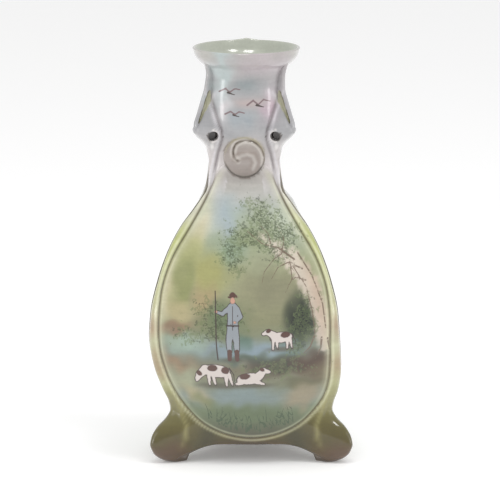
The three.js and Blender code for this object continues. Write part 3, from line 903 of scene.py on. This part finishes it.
def foot_glaze(x, y, z):
    """Glaze of the bands, the feet and the lower edge, with painted shade in the feet's valleys and a
    painted highlight along their ridges.
    """
    colour = colour_at(BAND_COLOURS, z + 2.4 * wander(x, z, 26, 6))
    # painted shade in the valley beside each foot's ridge
    valley_shade = bell(np.abs(x) - 27 + 0.35 * z, 5.5) * (1 - smoothstep(z, 22, 34))
    colour = lay(colour, GLAZE["foot_valley_shade"], valley_shade * 0.75)
    # painted highlight along each foot's ridge
    ridge = bell(np.abs(x) - read(FOOT_RIDGE, z), 1.3) * fade(z, (5, 14, 30, 40))
    colour = lay(colour, GLAZE["foot_ridge_highlight"], ridge * 0.6)
    toe = smoothstep(np.hypot(x, y), 44, 54) * (1 - smoothstep(z, 4, 12))
    colour = lay(colour, GLAZE["toe"], toe * 0.85)
    wide = x + 2.0 * wander(x, z, 20, 5)
    skirt = (1 - smoothstep(z, 12, 20)) * bell(wide, 14)
    return lay(colour, GLAZE["lower_edge"], skirt * 0.85)


def shadows_and_trunk(colour, x, z):
    """Shadows under the figures, and the tree's trunk."""
    for shadow in GROUND_SHADOWS:
        shade = oval(x, z, *shadow)
        colour = lay(colour, GLAZE["figure_shadow"], 0.75 * (1 - smoothstep(shade, -0.8, 0.9)))
    trunk = limb(x + 0.6 * wander(x, z, 9, 7), z, TRUNK_PATH, TRUNK_HALF_WIDTHS)
    core = 1 - smoothstep(trunk + 0.9 * wander(x, z, 5, 9), -2.4, 1.4)
    colour = lay(colour, GLAZE["trunk"], 0.85 * core)
    return lay(colour, GLAZE["trunk_shade"], 0.6 * core * smoothstep(x + 0.25 * z, 52, 60))


def glaze_colour(x, y, z, is_front):
    """Painted colour in the axes of the nearest side, x across it and y away from the viewer."""
    away = outline_distance(x, z)
    painted = wash(colour_at(FIELD_COLOURS, z), x, z, FRONT_WASHES if is_front else SIDE_WASHES)
    if is_front:
        painted = shadows_and_trunk(painted, x, z)
    # painted highlight in a pale band just inside each field's rim
    rim = bell(away + 1.6, 1.4) * smoothstep(z, 20, 50)
    painted = lay(painted, GLAZE["field_rim_highlight"], rim * 0.35)
    in_field = (1 - smoothstep(away, -0.5, 0.3)) * (1 - smoothstep(z, 146, 152))
    colour = mix(foot_glaze(x, y, z), painted, in_field[:, None])
    below_roll = 1 - smoothstep(z, 140, 150)
    # painted highlights and painted shade along each field's border
    for offset, half_width, strength, over in BORDER_HIGHLIGHT_AND_SHADE_LINES:
        colour = lay(colour, over, bell(away - offset, half_width) * below_roll * strength)
    return colour


def tint_neck(colour, x, y, z):
    """Lustre tints on the neck's front: blue-green on the left, pink on the right."""
    front = smoothstep(-y, -2, 6) * smoothstep(z, 166, 178)
    wide = x + 2.0 * wander(x, z, 12, 8)
    left = front * bell(wide + 12, 5) * smoothstep(z, 172, 186)
    colour = lay(colour, GLAZE["neck_left"], left * 0.8)
    in_lip = smoothstep(z, 196, 203)
    colour = lay(colour, GLAZE["neck_top"], front * in_lip * bell(wide - 8, 12) * 0.6)
    for centre_x, centre_z, half_width, half_height, strength, over in NECK_TINTS:
        tint = bell(wide - centre_x, half_width) * bell(z - centre_z, half_height)
        colour = lay(colour, over, front * tint * (1 - in_lip) * strength)
    return colour


def side_axes(x, y, side):
    """Positions across a side and away from its viewer."""
    return spin(x, y, SIDES[0] - side)


def draw_side(colour, x, y, z, side):
    """Painted shade in the creases and eyes of one side, painted highlights on the ridges beside the creases
    and on the eyes' inner rims, and a painted glint under each eye.
    """
    across, away = side_axes(x, y, side)
    across = np.abs(across)
    facing = away < 0
    span = fade(z, (134, 146, 186, 192)) * facing
    off = across - read(CREASE, z)
    # painted shade in the crease, painted highlight on the ridge beside it
    colour = lay(colour, GLAZE["crease"], bell(off + 0.1, 0.7) * span * 0.8)
    colour = lay(colour, GLAZE["crease_ridge_highlight"], bell(off - 1.6, 0.7) * span * 0.8)
    eye = np.hypot(across - EYE_X, z - EYE_Z)
    around_eye = facing * (np.hypot(across, away) < 34)
    # painted shade in the eye's hole, painted highlight on its inner rim and a painted glint below it
    colour = lay(colour, GLAZE["eye"], (eye < EYE_RADIUS - 0.1) * around_eye * 0.9)
    inner_rim_highlight = bell(eye - EYE_RADIUS - 0.7, 0.5) * (across < EYE_X)
    colour = lay(colour, GLAZE["eye_rim_highlight"], inner_rim_highlight * around_eye * 0.9)
    tear_highlight = oval(across, z, EYE_X - 0.4, EYE_Z - 5.6, 0.9, 1.8)
    return lay(colour, GLAZE["tear_highlight"], (1 - smoothstep(tear_highlight, -0.5, 0.6)) * around_eye * 0.8)


def draw_fin(colour, x, y, z, corner):
    """Paler glaze in the loops of one fin, and a line of painted shade beside its edge."""
    reach, off = spin(x, y, -corner)
    tip = along(FIN_EDGE, z, 1)
    loop = (np.abs(off) < FIN_HALF_THICKNESS - 0.2) & (reach > 20) & (z > LOOP_LOW) & (z < LOOP_HIGH)
    colour = lay(colour, GLAZE["fin_loop"], loop * (1 - smoothstep(reach, tip - 2.4, tip - 1.8)) * 0.9)
    # painted shade in the groove beside the fin's outer strand
    return lay(colour, GLAZE["fin_groove_shade"], loop * bell(reach - tip + 2.1, 0.45) * 0.9)


def store(mesh, name, chosen, values):
    """Keeps a number for every point of a mesh: FAR outside the chosen ones."""
    numbers = np.full(len(mesh.vertices), FAR)
    numbers[chosen] = values
    mesh.attributes.new(name, "FLOAT", "POINT").data.foreach_set("value", numbers)


def roll_colour(x, z):
    """Warm grey of the front roll, with painted shade in the spiral's groove, under the curl and under the
    edge, and painted highlights on the spiral's ridge and on the curl.
    """
    colour = colour_at(ROLL_COLOURS, z)
    spiral = distance_to_path(x, z, spiral_path(40))
    # painted highlight on the spiral's ridge, painted shade in its groove
    colour = lay(colour, GLAZE["spiral_ridge_highlight"], bell(spiral - 1.2, 0.6) * 0.7)
    colour = lay(colour, GLAZE["spiral"], bell(spiral, 0.5) * 0.9)
    curl = distance_to_path(x, z, CURL)
    # painted shade under the curl, painted highlight along it
    colour = lay(colour, GLAZE["under_curl_shade"], bell(curl - 1.7, 0.9) * (z < 3) * 0.7)
    colour = lay(colour, GLAZE["curl"], bell(curl, 0.9) * 0.7)
    rim = bell(np.hypot(x, z) - ROLL_RADIUS + 0.6, 0.45)
    colour = lay(colour, GLAZE["roll_rim"], rim * smoothstep(z, 0, 6) * 0.7)
    # painted shadow under the roll's lower edge
    return lay(colour, GLAZE["roll_undercut_shadow"], rim * smoothstep(-z, 1, 6))


def positions(mesh):
    """Points of the mesh in millimetres, from the vase's leaning axis."""
    points = np.empty(len(mesh.vertices) * 3)
    mesh.vertices.foreach_get("co", points)
    x, y, z = (points.reshape(-1, 3) / MM).T
    return x - AXIS_X - lean_at(z), y - AXIS_Y, z


def vase_colour(x, y, z):
    """Painted colour of the outside, without the roll."""
    angle = np.arctan2(y, x)
    colour = np.zeros((len(x), 3))
    for side in SIDES:
        near = np.cos(angle - side) >= 0.4999
        across, away = side_axes(x[near], y[near], side)
        colour[near] = glaze_colour(across, away, z[near], side == SIDES[0])
    colour = tint_neck(colour, x, y, z)
    for side in SIDES:
        colour = draw_side(colour, x, y, z, side)
    for corner in CORNERS:
        colour = draw_fin(colour, x, y, z, corner)
    return colour


def store_picture(mesh, x, z, front):
    """Stores how far each point of the front is from the picture's shapes and strokes."""
    for name, shape in SHAPES.items():
        store(mesh, name, front, shape_distance(x[front], z[front], shape))
    for name, strokes in {**STROKES, "grass": grass_strokes()}.items():
        for part, values in zip(("_offset", "_nearest"), stroke_offsets(x[front], z[front], strokes)):
            store(mesh, name + part, front, values)


def paint_vase(body):
    """Stores the painted colour and the picture's distances at every point of the vase."""
    mesh = body.data
    x, y, z = positions(mesh)
    colour = vase_colour(x, y, z)
    on_roll = (np.hypot(x, z - ROLL_Z) < ROLL_RADIUS + 0.4) & (y < 4 - ROLL_FACE)
    colour[on_roll] = roll_colour(x[on_roll], z[on_roll] - ROLL_Z)
    middle_of_wall = body_reach(np.arctan2(y, x), z, thickness(z) / 2)
    inner = (np.hypot(x, y) < middle_of_wall) & (z > FLOOR_TOP - 1)
    colour[inner] = GLAZE["inside"]
    stored = np.ones((len(x), 4))
    stored[:, :3] = to_linear(colour)
    mesh.color_attributes.new("paint", "FLOAT_COLOR", "POINT").data.foreach_set("color", stored.ravel())
    store_picture(mesh, x, z, (y < 0) & ~inner & ~on_roll & (np.abs(x) < -y * 2.2))


def fill(node, inputs):
    """Sets a node's inputs by name or number, or links them to another node's output."""
    for name, value in inputs.items():
        if isinstance(value, bpy.types.NodeSocket):
            node.id_data.links.new(value, node.inputs[name])
        else:
            node.inputs[name].default_value = value


class Nodes:
    """Short calls that add shader nodes to one tree."""

    def __init__(self, tree):
        self.tree = tree

    def add(self, kind, inputs=None, **settings):
        node = self.tree.nodes.new("ShaderNode" + kind)
        for name, value in settings.items():
            setattr(node, name, value)
        fill(node, inputs or {})
        return node

    def math(self, operation, *inputs):
        return self.add("Math", dict(enumerate(inputs)), operation=operation).outputs[0]

    def attribute(self, name, output):
        return self.add("Attribute", attribute_name=name).outputs[output]

    def noise(self, scale, detail, stretch=(1, 1, 1)):
        """Noise with a number of cells to the metre, stretched along the axes."""
        place = self.add("Mapping", {"Vector": self.add("TexCoord").outputs["Object"], "Scale": stretch})
        inputs = {"Vector": place.outputs[0], "Scale": scale, "Detail": detail}
        return self.add("TexNoise", inputs).outputs["Fac"]

    def step(self, value, low, high):
        """From 0 to 1 as the value goes from low to high, smoothly."""
        inputs = {"Value": value, "From Min": low, "From Max": high}
        return self.add("MapRange", inputs, interpolation_type="SMOOTHSTEP").outputs["Result"]

    def blend(self, share, under, over):
        """Mixes a colour over another."""
        node = self.add("Mix", data_type="RGBA")
        numbers = {socket.identifier: number for number, socket in enumerate(node.inputs)}
        fill(node, {numbers["Factor_Float"]: share, numbers["A_Color"]: under, numbers["B_Color"]: over})
        return next(socket for socket in node.outputs if socket.identifier == "Result_Color")


def paint_tone(colour):
    return (*to_linear(colour), 1.0)


def lay_strokes(made, colour, name, strength=1.0):
    """Lays the strokes of one tone over a colour, broken where they are weaker."""
    offset = made.math("ABSOLUTE", made.attribute(name + "_offset", "Fac"))
    near = made.step(made.attribute(name + "_nearest", "Fac"), 0.9, 0.6)
    cover = made.math("MULTIPLY", made.step(offset, 1.5, 0.6), near)
    if strength < 1:
        cover = made.math("MULTIPLY", cover, made.step(made.noise(GRAIN_NOISE, 2), 0.3, 0.5))
    return made.blend(made.math("MULTIPLY", cover, strength), colour, paint_tone(TONES[name]))


def lay_shape(made, colour, name, wobble, outline):
    """Lays a named shape over a colour, with a drawn outline round it."""
    away = made.math("ADD", made.attribute(name, "Fac"), wobble)
    colour = made.blend(made.step(away, 0.12, -0.12), colour, paint_tone(TONES[name]))
    band = made.step(made.math("ABSOLUTE", away), 0.34, 0.08)
    return made.blend(made.math("MULTIPLY", band, outline), colour, paint_tone(TONES["ink"]))


def mottled(made, colour, broad, grain):
    """Lets a colour vary in broad clouds, fine grain and upright streaks."""
    streaks = made.noise(STREAK_NOISE, 4, (0.35, 0.35, 2.2))
    tone = MOTTLE_BASE
    for noise, amount in ((broad, BROAD_MOTTLE), (grain, GRAIN_MOTTLE), (streaks, STREAK_MOTTLE)):
        tone = made.math("MULTIPLY_ADD", noise, amount, tone)
    return made.add("VectorMath", {0: colour, "Scale": tone}, operation="SCALE").outputs[0]


def lay_foliage(made, colour):
    """Lays the ragged leaves over a colour."""
    fine = made.noise(FINE_NOISE, 4)
    for scale, inset, tone in FOLIAGE:
        ragged = made.math("MULTIPLY_ADD", made.noise(scale, 6), 30.0, inset - 15.6)
        away = made.math("ADD", made.attribute("leaf", "Fac"), ragged)
        leaf = made.math("MULTIPLY", made.step(away, 0.5, -0.5), made.step(fine, 0.36, 0.56))
        colour = made.blend(made.math("MULTIPLY", leaf, 0.55), colour, paint_tone(TONES[tone]))
    return colour


def glaze_material():
    """Painted porcelain under a clear pearly glaze."""
    material, shader = principled("painted_glaze")
    made = Nodes(material.node_tree)
    broad = made.noise(BROAD_NOISE, 4)
    grain = made.noise(GRAIN_NOISE, 5)
    colour = mottled(made, made.attribute("paint", "Color"), broad, grain)
    colour = lay_foliage(made, colour)
    colour = lay_strokes(made, colour, "bark", 0.9)
    colour = lay_strokes(made, colour, "grass", 0.95)
    wobble = made.math("MULTIPLY_ADD", grain, 0.7, -0.35)
    for name, outline in OUTLINES:
        colour = lay_shape(made, colour, name, wobble, outline)
    colour = lay_strokes(made, colour, "plume")
    colour = lay_strokes(made, colour, "ink")
    waves = made.noise(BUMP_NOISE, 2)
    bump = made.add("Bump", {"Strength": BUMP_STRENGTH, "Distance": BUMP_DISTANCE, "Height": waves})
    roughness = made.math("MULTIPLY_ADD", broad, ROUGHNESS_SPREAD, ROUGHNESS)
    fill(shader, {"Base Color": colour, "Normal": bump.outputs["Normal"], "Roughness": roughness})
    fill(shader, {"Specular IOR Level": 0.5, "Coat Weight": 0.9, "Coat Roughness": 0.03})
    return material


def floor():
    mesh = bpy.data.meshes.new("floor")
    half = FLOOR_HALF
    corners = [(-half, -half, 0), (half, -half, 0), (half, half, 0), (-half, half, 0)]
    mesh.from_pydata(corners, [], [(0, 1, 2, 3)])
    obj = new_object("floor", mesh)
    material, shader = principled("pale_floor")
    fill(shader, {"Base Color": FLOOR_COLOUR, "Roughness": 0.9})
    fill(shader, {"Emission Color": WHITE, "Emission Strength": FLOOR_GLOW})
    mesh.materials.append(material)


def area_light(name, location, size, power, target):
    data = bpy.data.lights.new(name, "AREA")
    data.shape = "RECTANGLE"
    data.size, data.size_y = size
    data.energy = power
    obj = new_object(name, data)
    obj.location = location
    obj.rotation_mode = "QUATERNION"
    obj.rotation_quaternion = (Vector(target) - Vector(location)).to_track_quat("-Z", "Y")


def lights():
    for light in AREA_LIGHTS:
        area_light(*light)
    world = bpy.data.worlds.new("studio")
    world.use_nodes = True
    fill(world.node_tree.nodes["Background"], {"Color": WHITE, "Strength": WORLD_STRENGTH})
    bpy.context.scene.world = world
    bpy.context.scene.view_settings.view_transform = "Standard"


def camera():
    """Camera at the photograph's angle."""
    data = bpy.data.cameras.new("camera")
    data.sensor_width = 36
    data.lens = 229.7
    data.shift_x = 0.0114
    data.clip_end = 20
    obj = new_object("camera", data)
    obj.location = ((AXIS_X - LEAN) * MM, AXIS_Y * MM - CAMERA_DISTANCE, CAMERA_HEIGHT)
    obj.rotation_euler = (math.radians(90 - CAMERA_DOWN), 0, 0)
    bpy.context.scene.camera = obj


vase = build_vase()
paint_vase(vase)
vase.data.materials.clear()
vase.data.materials.append(glaze_material())
vase.data.polygons.foreach_set("material_index", [0] * len(vase.data.polygons))
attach(vase, "root")
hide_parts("vase")
floor()
lights()
camera()
